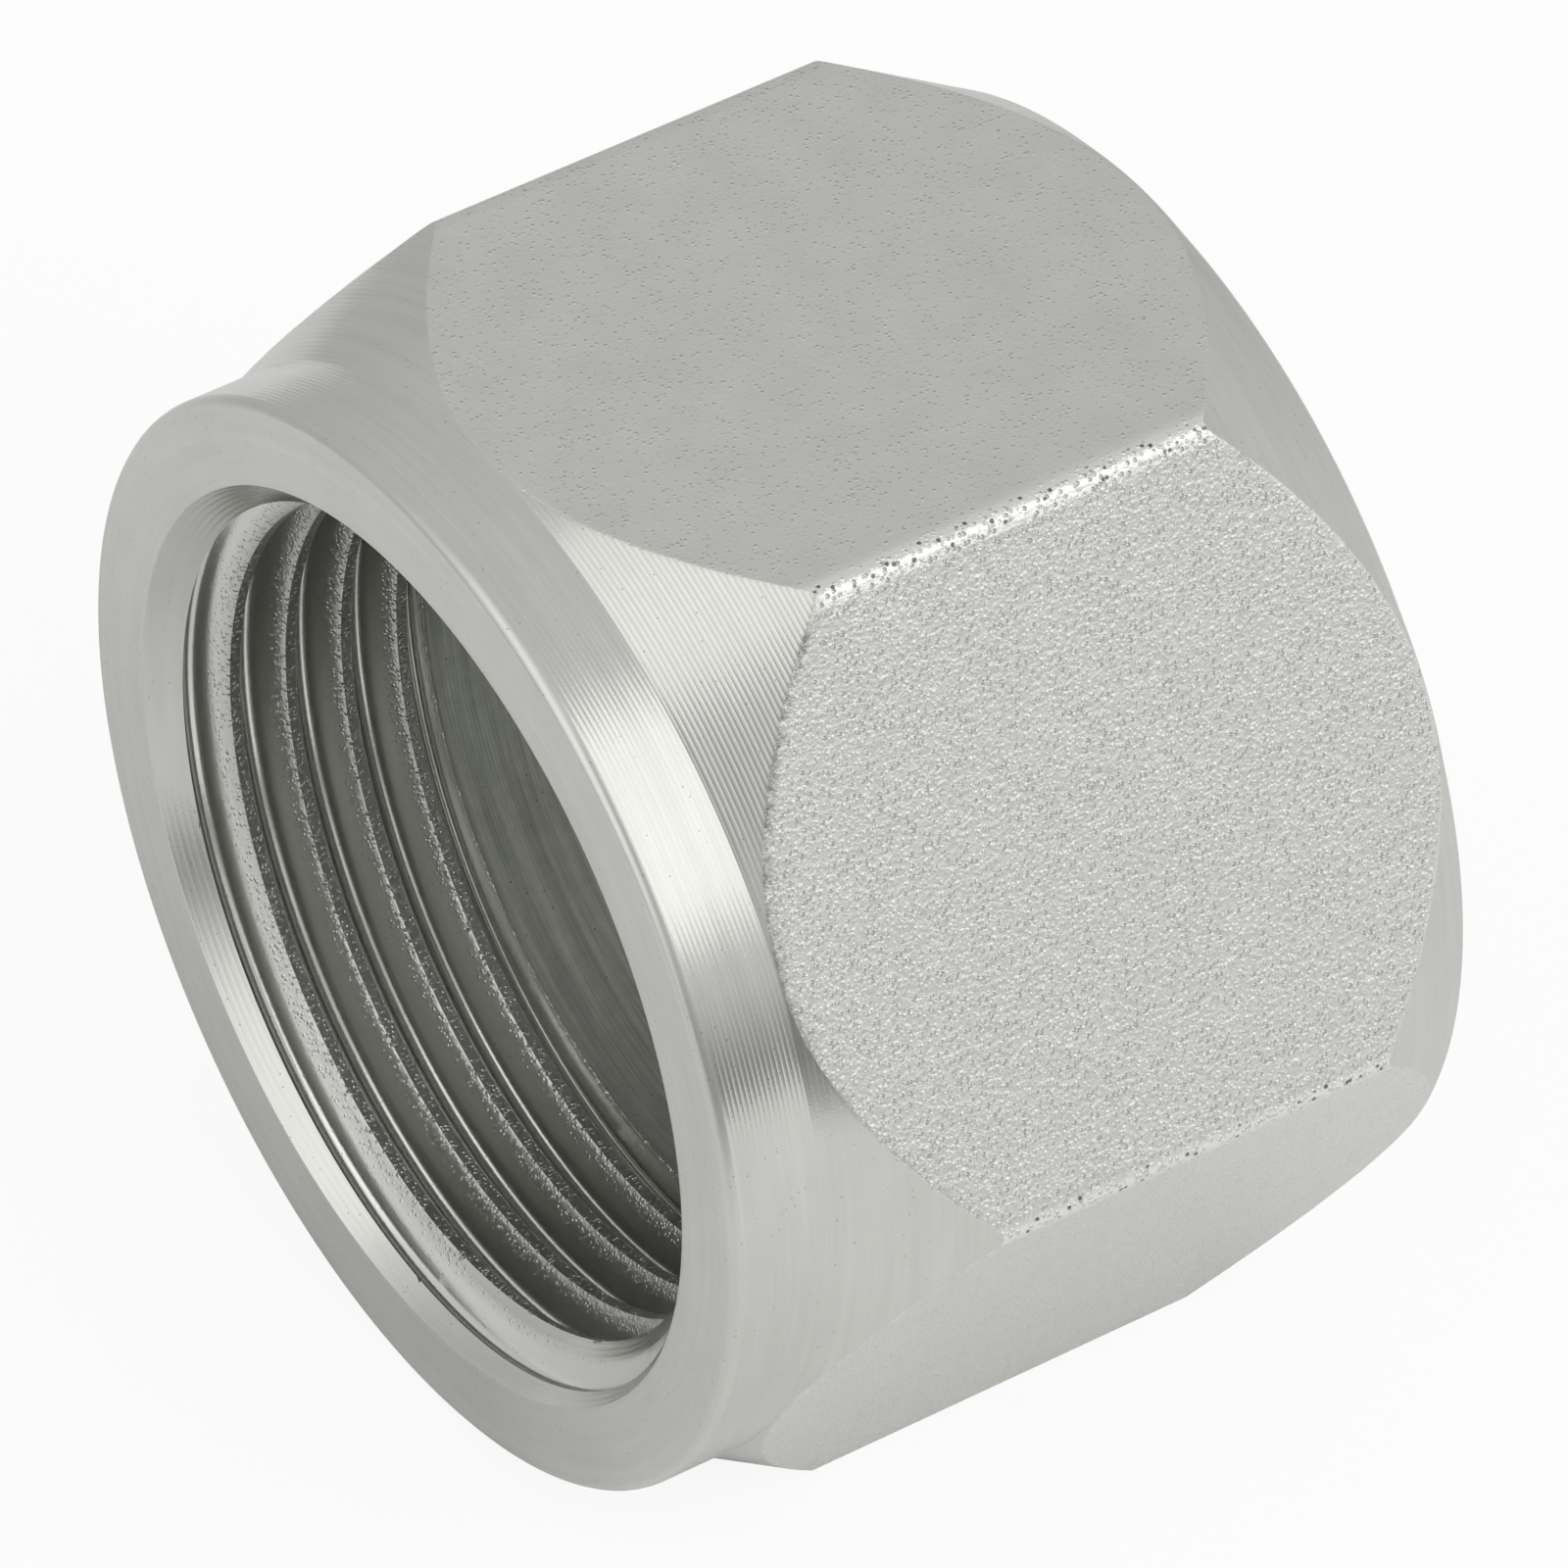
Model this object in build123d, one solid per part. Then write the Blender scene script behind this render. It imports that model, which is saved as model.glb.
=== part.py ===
from build123d import *
import math
import os

# Threaded protection cap with a hexagon, lying on one hexagon flat.
# Millimetres, +Z up. The thread axis runs along Y and the mouth faces -Y.
# The origin is under the middle of the cap, on the surface it lies on.
# The cap is drawn about its own axis first, with the mouth at depth 0.
# Its thread is G 3/4: 14 turns to the inch, major diameter 26.441, 55 degree form.
# The hole is drawn at the thread's crests, and the turns themselves are left to the render.

# Hexagon and overall length
ACROSS_FLATS = 32.0
LENGTH = 23.7
HEXAGON_CORNER_RADIUS = 0.5

# Turned outside
COLLAR_DIAMETER = 31.9
COLLAR_LENGTH = 2.8
COLLAR_EDGE_RADIUS = 0.3
FRONT_CONE_ANGLE = 30.0
REAR_CONE_ANGLE = 30.0
REAR_FACE_DIAMETER = 31.9
REAR_EDGE_RADIUS = 0.3

# Threaded hole and its mouth
CREST_DIAMETER = 24.24
THREAD_DEPTH = 1.1
THREAD_END_DEPTH = 8.45
MOUTH_CHAMFER = 1.33
MOUTH_CHAMFER_ANGLE = 40.0

# Run-out ring, which ends the thread just outside its roots
RUNOUT_WIDTH = 0.55
RUNOUT_CLEARANCE = 0.03

# Plain blind bore behind the thread, stepped out from the crests
BORE_STEP = 0.28
BORE_CORNER_RADIUS = 0.8
END_WALL = 4.3


def hexagon_bar():
    """Hexagon stock with rounded corners, one flat facing local +X."""
    with BuildSketch() as section:
        RegularPolygon(ACROSS_FLATS / 2, 6, major_radius=False, rotation=30)
        fillet(section.vertices(), HEXAGON_CORNER_RADIUS)
    return extrude(section.sketch, LENGTH)


def turned_outside():
    """Shape that the lathe leaves outside: collar, two cones over the corners and a faced back."""
    collar_radius = COLLAR_DIAMETER / 2
    rear_radius = REAR_FACE_DIAMETER / 2
    corner_reach = ACROSS_FLATS / 2 / math.cos(math.radians(30))
    front_cone_length = (corner_reach - collar_radius) / math.tan(math.radians(FRONT_CONE_ANGLE))
    rear_cone_length = (corner_reach - rear_radius) / math.tan(math.radians(REAR_CONE_ANGLE))
    with BuildSketch(Plane.XZ) as section:
        with BuildLine():
            Polyline(
                (0, 0),
                (collar_radius, 0),
                (collar_radius, COLLAR_LENGTH),
                (corner_reach, COLLAR_LENGTH + front_cone_length),
                (corner_reach, LENGTH - rear_cone_length),
                (rear_radius, LENGTH),
                (0, LENGTH),
                close=True,
            )
        make_face()
        fillet(section.vertices().sort_by_distance((collar_radius, 0))[0], COLLAR_EDGE_RADIUS)
        fillet(section.vertices().sort_by_distance((rear_radius, LENGTH))[0], REAR_EDGE_RADIUS)
    return revolve(section.sketch, Axis.Z)


def bored_inside():
    """Shape that the lathe takes out: mouth chamfer, crest hole, run-out ring and blind bore."""
    crest_radius = CREST_DIAMETER / 2
    mouth_radius = crest_radius + MOUTH_CHAMFER
    runout_radius = crest_radius + THREAD_DEPTH + RUNOUT_CLEARANCE
    bore_radius = crest_radius + BORE_STEP
    chamfer_depth = MOUTH_CHAMFER / math.tan(math.radians(MOUTH_CHAMFER_ANGLE))
    runout_start = THREAD_END_DEPTH - RUNOUT_WIDTH
    bottom = LENGTH - END_WALL
    with BuildSketch(Plane.XZ) as section:
        with BuildLine():
            Polyline(
                (0, 0),
                (mouth_radius, 0),
                (crest_radius, chamfer_depth),
                (crest_radius, runout_start),
                (runout_radius, runout_start),
                (runout_radius, THREAD_END_DEPTH),
                (bore_radius, THREAD_END_DEPTH),
                (bore_radius, bottom),
                (0, bottom),
                close=True,
            )
        make_face()
        fillet(section.vertices().sort_by_distance((bore_radius, bottom))[0], BORE_CORNER_RADIUS)
    return revolve(section.sketch, Axis.Z)


def protection_cap():
    """The whole cap, laid down on one flat with its mouth towards -Y."""
    cap = (turned_outside() & hexagon_bar()) - bored_inside()
    lying_down = Plane(
        origin=(0, -LENGTH / 2, ACROSS_FLATS / 2),
        x_dir=(0, 0, 1),
        z_dir=(0, 1, 0),
    )
    return lying_down.location * cap


os.makedirs("parts", exist_ok=True)
export_step(protection_cap(), "parts/protection_cap.step")
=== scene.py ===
"""Threaded protection cap, turned from hexagon bar, lying on one flat on a pale floor."""

import math

import bpy
from bpy.props import FloatProperty, FloatVectorProperty, IntProperty, PointerProperty
from mathutils import Matrix, Vector, noise


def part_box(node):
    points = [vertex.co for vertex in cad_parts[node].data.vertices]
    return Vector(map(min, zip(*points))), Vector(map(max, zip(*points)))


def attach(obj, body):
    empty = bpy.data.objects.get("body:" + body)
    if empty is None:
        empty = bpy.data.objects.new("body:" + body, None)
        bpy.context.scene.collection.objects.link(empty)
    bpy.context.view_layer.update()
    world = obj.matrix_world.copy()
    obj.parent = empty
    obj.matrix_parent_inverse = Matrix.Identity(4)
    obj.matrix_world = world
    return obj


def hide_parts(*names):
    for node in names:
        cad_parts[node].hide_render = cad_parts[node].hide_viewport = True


bl_info = {
    "name": "Threaded Protection Cap",
    "version": (1, 0, 0),
    "blender": (4, 5, 0),
    "location": "3D View > Sidebar > Cap",
    "description": "Builds a turned hexagon cap with a pipe thread, and the studio it lies in",
    "category": "Add Mesh",
}

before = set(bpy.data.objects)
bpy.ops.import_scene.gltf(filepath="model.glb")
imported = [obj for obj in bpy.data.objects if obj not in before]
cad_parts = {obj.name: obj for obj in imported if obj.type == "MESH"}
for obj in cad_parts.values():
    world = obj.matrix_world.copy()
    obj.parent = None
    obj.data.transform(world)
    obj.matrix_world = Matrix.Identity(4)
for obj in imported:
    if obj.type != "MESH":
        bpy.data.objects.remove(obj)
CAD_LOW, CAD_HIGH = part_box("protection_cap")
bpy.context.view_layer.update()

MM = 0.001
SIXTH = math.radians(60)

# The edge between the mouth's face and its chamfer: its round, and where the thread's rows start
MOUTH_ROUND = 0.05 * MM
MOUTH_LIP = 0.05 * MM

# Depth past which no thread row is moved to where the groove meets the chamfer
CHAMFER_REACH = 2.4 * MM

# Rounds between collar and cone, in the run-out ring and on the shoulder behind it
CONE_FOOT_ROUND = 0.12 * MM
RUNOUT_ROUND = 0.2 * MM
SHOULDER_ROUND = 0.06 * MM

# How much the round of a cone's edge varies, and over what distance
RAGGED_SHARE = 0.9
RAGGED_SIZE = 0.21 * MM

# Points closer than this become one, and edges sharper than this are not shaded smooth
MERGE_DISTANCE = 0.0005 * MM
SHARP_EDGE = math.radians(33)

# Root round of the thread's form, as a share of its pitch
ROOT_ROUND_SHARE = 0.137329

FLOOR_SIDES = 120

# Soft lamps: azimuth and elevation in degrees, then distance, width and height in metres
LAMPS = {
    "window": (120, 45.2, 1.3, 1.4, 0.98),
    "front": (-2, 58, 1.3, 0.9, 1.05),
    "fill": (5, 17, 1.3, 1.1, 0.7),
    "side": (100, 40, 0.4, 0.22, 0.22),
}

# Finishes, in the order of the material slots on the cap
BACK, REAR_CONE, FLATS, FRONT_CONE, COLLAR, FACE, CHAMFER, THREAD, BORE = range(9)


# Settings


def length_setting(name, description, default):
    """A length in metres."""
    return FloatProperty(name=name, description=description, default=default, unit="LENGTH")


def colour_setting(name, description, default):
    """A plain colour."""
    return FloatVectorProperty(
        name=name, description=description, default=default, size=3, subtype="COLOR"
    )


class CapShape(bpy.types.PropertyGroup):
    """Sizes of the cap, measured from its mouth along its own axis."""

    across_flats: length_setting(
        "Across Flats", "Width of the hexagon over two opposite flats", CAD_HIGH.z - CAD_LOW.z
    )
    length: length_setting("Length", "Length from the mouth to the closed end", CAD_HIGH.y - CAD_LOW.y)
    corner_round: length_setting("Corner Round", "Radius along the six edges of the hexagon", 0.5 * MM)
    collar_radius: length_setting(
        "Collar Radius", "Radius of the turned collar and of the closed end", 15.95 * MM
    )
    collar_length: length_setting("Collar Length", "Length of the turned collar", 2.8 * MM)
    edge_round: length_setting(
        "Edge Round", "Radius of the collar's edge and of the closed end's edge", 0.3 * MM
    )
    cone_angle: FloatProperty(
        name="Cone Angle",
        description="Angle between the axis and the cones turned over the hexagon's corners",
        default=math.radians(30),
        subtype="ANGLE",
    )
    cone_edge_round: length_setting(
        "Cone Edge Round", "Radius of the edge between a cone and a flat", 0.22 * MM
    )
    mouth_radius: length_setting("Mouth Radius", "Radius of the mouth, where the chamfer starts", 13.45 * MM)
    mouth_slope: FloatProperty(
        name="Mouth Slope",
        description="Angle between the axis and the mouth's chamfer",
        default=math.radians(40),
        subtype="ANGLE",
    )
    thread_pitch: length_setting(
        "Thread Pitch", "Advance of the thread in one turn, fourteen turns to the inch", 25.4 * MM / 14
    )
    thread_root_radius: length_setting(
        "Thread Root Radius", "Distance from the axis to the bottom of the groove", 13.2205 * MM
    )
    thread_crest_radius: length_setting(
        "Thread Crest Radius", "Distance from the axis to the crests", 12.12 * MM
    )
    thread_start: FloatProperty(
        name="Thread Start",
        description="Angle from straight up at which the groove's middle meets the mouth",
        default=math.radians(20),
        subtype="ANGLE",
    )
    thread_tear: length_setting("Thread Tear", "How far the crests' edges are torn by the tap", 0.015 * MM)
    runout_start: length_setting("Run-out Start", "Depth at which the thread runs out into a ring", 7.9 * MM)
    runout_end: length_setting("Run-out End", "Depth of the shoulder behind the run-out ring", 8.45 * MM)
    runout_radius: length_setting("Run-out Radius", "Radius of the run-out ring", 13.25 * MM)
    runout_lean: length_setting(
        "Run-out Lean", "How far the run-out ring follows the thread to one side of its middle", 0.16 * MM
    )
    bore_radius: length_setting("Bore Radius", "Radius of the plain bore behind the thread", 12.4 * MM)
    bore_depth: length_setting("Bore Depth", "Depth of the bore's bottom", 19.4 * MM)
    bore_round: length_setting("Bore Round", "Radius in the corner of the bore's bottom", 0.8 * MM)
    columns: IntProperty(
        name="Columns",
        description="Mesh columns round the axis, before those added at the hexagon's corners",
        default=360,
        min=60,
    )


class CapFinish(bpy.types.PropertyGroup):
    """Colours and grain of the bare metal, some of them lightened or darkened as painted light and shade."""

    bright_metal: colour_setting("Bright Metal", "Colour of the clean metal", (0.693, 0.697, 0.66))
    dull_metal: colour_setting("Dull Metal", "Colour of the duller patches", (0.652, 0.657, 0.62))
    # Painted light: the thread's colour is lighter than the outside metal, so that the thread inside the
    # mouth looks lit.
    thread_metal_with_painted_light: colour_setting(
        "Inner Metal", "Colour of the thread's flanks, lightened as painted light inside the mouth", (0.79, 0.798, 0.76)
    )
    # Painted light: both bore colours are lighter than the outside metal, so that the bore looks lit; the
    # patches between them are uneven tone.
    bore_metal_with_painted_light: colour_setting(
        "Bore Metal", "Colour of the lighter patches in the plain bore, lightened as painted light", (0.97, 0.98, 0.94)
    )
    bore_stain_with_painted_light: colour_setting(
        "Bore Stain", "Colour of the darker patches in the plain bore, lightened as painted light", (0.86, 0.87, 0.83)
    )
    # Partly painted shade: the crests are darker partly for their torn metal and partly to dim the highlight
    # along their edges.
    torn_crest_metal_and_shade: colour_setting(
        "Torn Metal", "Colour of the thread's crests, torn by the tap and darkened as painted shade", (0.55, 0.555, 0.53)
    )
    # Painted highlight: the hexagon's edges on the right are lighter because light falls on them there.
    painted_edge_highlight_metal: colour_setting(
        "Edge Highlight Colour", "Colour of the painted highlight on the hexagon's edges on the right", (0.85, 0.855, 0.82)
    )
    # Also the colour of the painted shade along the border of the right flats.
    pit_and_shade_colour: colour_setting("Pits", "Colour of the small dark pits and of the painted shade on the right flats", (0.12, 0.12, 0.11))
    grain_size: length_setting("Grain Size", "Size of the grain on the flats", 0.15 * MM)
    ring_feed: length_setting(
        "Ring Feed", "Distance between the rings that the turning tool left", 0.151 * MM
    )


class CapStage(bpy.types.PropertyGroup):
    """Floor, light and camera."""

    floor_colour: colour_setting("Floor Colour", "Colour of the floor", (0.78, 0.78, 0.78))
    floor_reach: length_setting("Floor Reach", "Radius of the round floor", 0.2)
    floor_middle: FloatVectorProperty(
        name="Floor Middle",
        description="Middle of the round floor, most of which lies behind the cap",
        default=(-0.02, 0.13, 0.0),
        size=3,
        subtype="TRANSLATION",
    )
    horizon_light: FloatProperty(
        name="Horizon Light",
        description="Brightness of the room at the height of the cap",
        default=0.55,
    )
    ceiling_light: FloatProperty(
        name="Ceiling Light",
        description="Brightness of the room straight above",
        default=0.68,
    )
    window_light: FloatProperty(
        name="Window Light",
        description="Brightness of the large soft lamp behind the cap on the right",
        default=0.65,
    )
    front_light: FloatProperty(
        name="Front Light",
        description="Brightness of the soft lamp high in front of the mouth",
        default=0.33,
    )
    fill_light: FloatProperty(
        name="Fill Light",
        description="Brightness of the soft lamp that shines into the mouth",
        default=0.28,
    )
    side_light: FloatProperty(
        name="Side Light",
        description="Brightness of the small soft lamp on the right, which lights the floor",
        default=3.6,
    )
    dark_side: FloatProperty(
        name="Dark Side",
        description="How much darker the room is low in front on the right",
        default=0.55,
        subtype="FACTOR",
    )
    front_glow: FloatProperty(
        name="Front Glow",
        description="How much brighter the room is in front of the mouth",
        default=0.34,
    )
    dark_card: FloatProperty(
        name="Dark Card",
        description="How much darker the room is round the camera",
        default=0.32,
        subtype="FACTOR",
    )
    back_glow: FloatProperty(
        name="Back Glow",
        description="How much brighter the room is behind the cap on the right",
        default=0.2,
    )
    camera_place: FloatVectorProperty(
        name="Camera Place",
        description="Where the camera stands",
        default=(0.27547, -0.18457, 0.31140),
        size=3,
        subtype="TRANSLATION",
    )
    camera_aim: FloatVectorProperty(
        name="Camera Aim",
        description="Direction in which the camera looks",
        default=(-0.6200165, 0.4163361, -0.6650142),
        size=3,
        subtype="DIRECTION",
    )
    camera_up: FloatVectorProperty(
        name="Camera Up",
        description="Direction that is up in the picture",
        default=(-0.5537474, 0.3682561, 0.7468275),
        size=3,
        subtype="DIRECTION",
    )
    camera_view: FloatProperty(
        name="Camera View",
        description="Angle that the camera takes in",
        default=math.radians(5.5235),
        subtype="ANGLE",
    )


# Shape of the cap


def hexagon_reach(shape, angle):
    """Distance from the axis to the hexagon's surface, its edges rounded."""
    half_flat = shape.across_flats / 2
    inner_flat = half_flat - shape.corner_round
    off_middle = abs((angle + SIXTH / 2) % SIXTH - SIXTH / 2)
    flat_ends = math.atan2(inner_flat * math.tan(SIXTH / 2), half_flat)
    if off_middle <= flat_ends:
        return half_flat / math.cos(off_middle)
    off_corner = SIXTH / 2 - off_middle
    round_centre = inner_flat / math.cos(SIXTH / 2)
    across = round_centre * math.sin(off_corner)
    return round_centre * math.cos(off_corner) + math.sqrt(shape.corner_round**2 - across**2)


def column_angles(shape):
    """Angles of the mesh columns from straight up, closer together over the hexagon's edges."""
    round_centre = (shape.across_flats / 2 - shape.corner_round) / math.cos(SIXTH / 2)
    flat_end = math.radians(1.25)
    beside = [-flat_end, flat_end]
    for tenth in range(-3, 4):
        turn = math.radians(10 * tenth)
        reach = round_centre + shape.corner_round * math.cos(turn)
        beside.append(math.atan2(shape.corner_round * math.sin(turn), reach))
    extra = [SIXTH / 2 + SIXTH * side + turn for side in range(6) for turn in beside]
    even = [math.tau * column / shape.columns for column in range(shape.columns)]
    clear = math.radians(0.35)
    return sorted(extra + [angle for angle in even if min(abs(angle - e) for e in extra) > clear])


def run_between(start, end, count):
    """Points inside a straight run, the outer two close to its ends so that its shading stays flat."""
    length = (end - start).length
    margin = min(0.12 * MM, 0.2 * length)
    inner = length - 2 * margin
    return [start.lerp(end, (margin + inner * k / (count - 1)) / length) for k in range(count)]


def arc_at(before, here, after, radius, steps):
    """Points of the round that replaces a corner, no longer than the runs beside it allow."""
    back = before - here
    ahead = after - here
    half_angle = back.angle(ahead) / 2
    reach = min(radius / math.tan(half_angle), 0.45 * back.length, 0.45 * ahead.length)
    start = here + back.normalized() * reach
    end = here + ahead.normalized() * reach
    inward = (back.normalized() + ahead.normalized()).normalized()
    centre = here + inward * (reach / math.cos(half_angle))
    first = math.atan2(start.y - centre.y, start.x - centre.x)
    last = math.atan2(end.y - centre.y, end.x - centre.x)
    turn = (last - first + math.pi) % math.tau - math.pi
    arm = (start - centre).length
    points = []
    for step in range(steps + 1):
        angle = first + turn * step / steps
        points.append(centre + Vector((math.cos(angle), math.sin(angle))) * arm)
    return points


class Corner:
    """One corner of a cut through the cap, and the run of surface that follows it."""

    def __init__(self, radius, depth, finish, edge=(0, 0, None), inside=0):
        self.at = Vector((radius, depth))
        self.finish = finish
        self.round, self.steps, self.edge_finish = edge
        self.inside = inside


def rounded_outline(corners):
    """Points along a cut through the cap, and the finish of the surface after each of them."""
    arcs = []
    for i, corner in enumerate(corners):
        if corner.steps == 0:
            arcs.append([corner.at])
        else:
            beside = (corners[i - 1].at, corner.at, corners[i + 1].at)
            arcs.append(arc_at(*beside, corner.round, corner.steps))
    points = []
    finishes = []
    for i, corner in enumerate(corners):
        points += arcs[i]
        finishes += [corner.edge_finish] * corner.steps + [corner.finish]
        if corner.inside:
            points += run_between(arcs[i][-1], arcs[i + 1][0], corner.inside)
            finishes += [corner.finish] * corner.inside
    return points, finishes


def outside_outline(shape, angle):
    """The outside at one angle, from the middle of the closed end to the edge of the mouth."""
    reach = hexagon_reach(shape, angle)
    cone_length = (reach - shape.collar_radius) / math.tan(shape.cone_angle)
    rear_edge = shape.length - cone_length
    front_edge = shape.collar_length + cone_length
    rear_round = shape.cone_edge_round * ragged(shape, angle, reach, rear_edge)
    front_round = shape.cone_edge_round * ragged(shape, angle, reach, front_edge)
    collar, mouth = shape.collar_radius, shape.mouth_radius
    corners = [
        Corner(0, shape.length, BACK, inside=6),
        Corner(collar, shape.length, REAR_CONE, (shape.edge_round, 4, REAR_CONE), inside=6),
        Corner(reach, rear_edge, FLATS, (rear_round, 3, FLATS), inside=8),
        Corner(reach, front_edge, FRONT_CONE, (front_round, 3, FLATS), inside=7),
        Corner(collar, shape.collar_length, COLLAR, (CONE_FOOT_ROUND, 2, FRONT_CONE), inside=5),
        Corner(collar, 0, FACE, (shape.edge_round, 4, FACE), inside=5),
        Corner(mouth, 0, CHAMFER, (MOUTH_ROUND, 2, FACE)),
        Corner(chamfer_radius(shape, MOUTH_LIP), MOUTH_LIP, CHAMFER),
    ]
    return rounded_outline(corners)


def chamfer_radius(shape, depth):
    """Radius of the mouth's chamfer at that depth."""
    return shape.mouth_radius - depth * math.tan(shape.mouth_slope)


def ragged(shape, angle, radius, depth):
    """Share by which an edge's round varies from place to place."""
    return 1 + RAGGED_SHARE * noise.noise(place(shape, angle, radius, depth) / RAGGED_SIZE)


def inside_outline(shape, angle, thread_end):
    """The inside behind the thread, from the thread's end to the middle of the bore's bottom."""
    middle = (shape.runout_start + shape.runout_end) / 2 + shape.runout_lean * math.cos(angle + SIXTH)
    corners = [
        Corner(thread_end.x, thread_end.y, THREAD),
        Corner(shape.runout_radius, middle, THREAD, (RUNOUT_ROUND, 5, THREAD), inside=2),
        Corner(shape.bore_radius, shape.runout_end, BORE, (SHOULDER_ROUND, 2, THREAD), inside=8),
        Corner(shape.bore_radius, shape.bore_depth, BORE, (shape.bore_round, 6, BORE), inside=6),
        Corner(0, shape.bore_depth, BORE),
    ]
    return rounded_outline(corners)


class ThreadForm:
    """Whitworth groove: 55 degree flanks, rounded at the root and cut off flat at the crests."""

    def __init__(self, shape):
        self.pitch = shape.thread_pitch
        self.crest = shape.thread_crest_radius
        self.flank = math.radians(55 / 2)
        self.root_round = ROOT_ROUND_SHARE * self.pitch
        self.root_centre = shape.thread_root_radius - self.root_round
        self.flank_start = self.root_round * math.cos(self.flank)
        self.flank_radius = self.root_centre + self.root_round * math.sin(self.flank)
        self.flank_end = self.flank_start + (self.flank_radius - self.crest) * math.tan(self.flank)

    def radius(self, offset):
        """Hole radius at that distance along the axis from the groove's middle."""
        offset = abs(offset)
        if offset < self.flank_start:
            return self.root_centre + math.sqrt(self.root_round**2 - offset**2)
        if offset < self.flank_end:
            return self.flank_radius - (offset - self.flank_start) / math.tan(self.flank)
        return self.crest

    def row_offsets(self):
        """Distances from the groove's middle at which the mesh has a row, over one pitch."""
        root = [self.flank_start * share for share in (0.0, 0.33, 0.66, 1.0)]
        slope = self.flank_end - self.flank_start
        flank = [self.flank_start + slope * share for share in (0.2, 0.4, 0.6, 0.8, 0.95)]
        half_pitch = self.pitch / 2
        crest = [self.flank_end + (half_pitch - self.flank_end) * share for share in (0.12, 0.5, 1.0)]
        half = root + flank + crest
        return [-offset for offset in reversed(half[1:-1])] + half


def groove_middle(shape, angle):
    """Depth of the groove's middle at that angle, for the turn that leaves the mouth."""
    return shape.thread_pitch * (angle - shape.thread_start) / math.tau


def place(shape, angle, radius, depth):
    """A point of the cap in the room: the axis lies along Y, and the mouth faces -Y."""
    return Vector(
        (
            radius * math.sin(angle),
            CAD_LOW.y + depth,
            CAD_LOW.z + shape.across_flats / 2 + radius * math.cos(angle),
        )
    )


def thread_rows(shape, form, angle):
    """Points down the thread at one angle, kept between the mouth's lip and the run-out ring."""
    offsets = form.row_offsets()
    turns = math.ceil(shape.runout_start / form.pitch) + 2
    middle = groove_middle(shape, angle)

    def hole_radius(depth):
        offset = (depth - middle + form.pitch / 2) % form.pitch - form.pitch / 2
        return form.radius(offset), chamfer_radius(shape, depth)

    depths = [middle + turn * form.pitch + offset for turn in range(-1, turns) for offset in offsets]
    for i in range(len(depths) - 1):
        if not MOUTH_LIP < depths[i] < CHAMFER_REACH:
            continue
        here = hole_radius(depths[i])
        ahead = hole_radius(depths[i + 1])
        if (here[0] - here[1]) * (ahead[0] - ahead[1]) >= 0:
            continue
        low, high = depths[i], depths[i + 1]
        for _ in range(20):
            middle_depth = (low + high) / 2
            tried = hole_radius(middle_depth)
            if (tried[0] - tried[1]) * (here[0] - here[1]) > 0:
                low = middle_depth
            else:
                high = middle_depth
        nearest = i if low - depths[i] < depths[i + 1] - low else i + 1
        depths[nearest] = low

    rows = []
    for depth in depths:
        depth = min(max(depth, MOUTH_LIP), shape.runout_start)
        thread, chamfer = hole_radius(depth)
        radius = max(thread, chamfer)
        if thread > chamfer and MOUTH_LIP < depth < shape.runout_start:
            radius += tear(shape, form, angle, depth, thread)
        rows.append(Vector((radius, depth)))
    return rows


def tear(shape, form, angle, depth, radius):
    """Small unevenness that the tap left, most of it along the crests."""
    at = place(shape, angle, radius, depth)
    near_crest = 1 - min((radius - form.crest) / (0.1 * MM), 1)
    fine = noise.noise(at / (0.45 * MM))
    broad = noise.noise(at / (2.5 * MM))
    return shape.thread_tear * (0.1 + 0.9 * near_crest) * (0.5 * fine + 0.5 * broad)


class CapMesh:
    """Gathers points, merging those that fall together, and the faces between columns."""

    def __init__(self):
        self.points = []
        self.found = {}
        self.faces = []
        self.finishes = []

    def point(self, at):
        """Number of the point at that place."""
        key = tuple(round(value / MERGE_DISTANCE) for value in at)
        if key not in self.found:
            self.found[key] = len(self.points)
            self.points.append(at)
        return self.found[key]

    def strip(self, left, right, finishes, chamfered=frozenset()):
        """Faces between two columns of points; those between chamfered points get its finish."""
        for i in range(len(left) - 1):
            ring = []
            for number in (left[i], left[i + 1], right[i + 1], right[i]):
                if number not in ring:
                    ring.append(number)
            if len(ring) > 2:
                self.faces.append(ring)
                self.finishes.append(CHAMFER if chamfered.issuperset(ring) else finishes[i])

    def build(self, name):
        """The finished mesh, smooth but for its sharp edges."""
        mesh = bpy.data.meshes.new(name)
        mesh.from_pydata(self.points, [], self.faces)
        mesh.polygons.foreach_set("material_index", self.finishes)
        mesh.polygons.foreach_set("use_smooth", [True] * len(self.faces))
        mesh.update()
        mesh.set_sharp_from_angle(angle=SHARP_EDGE)
        return mesh


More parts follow.
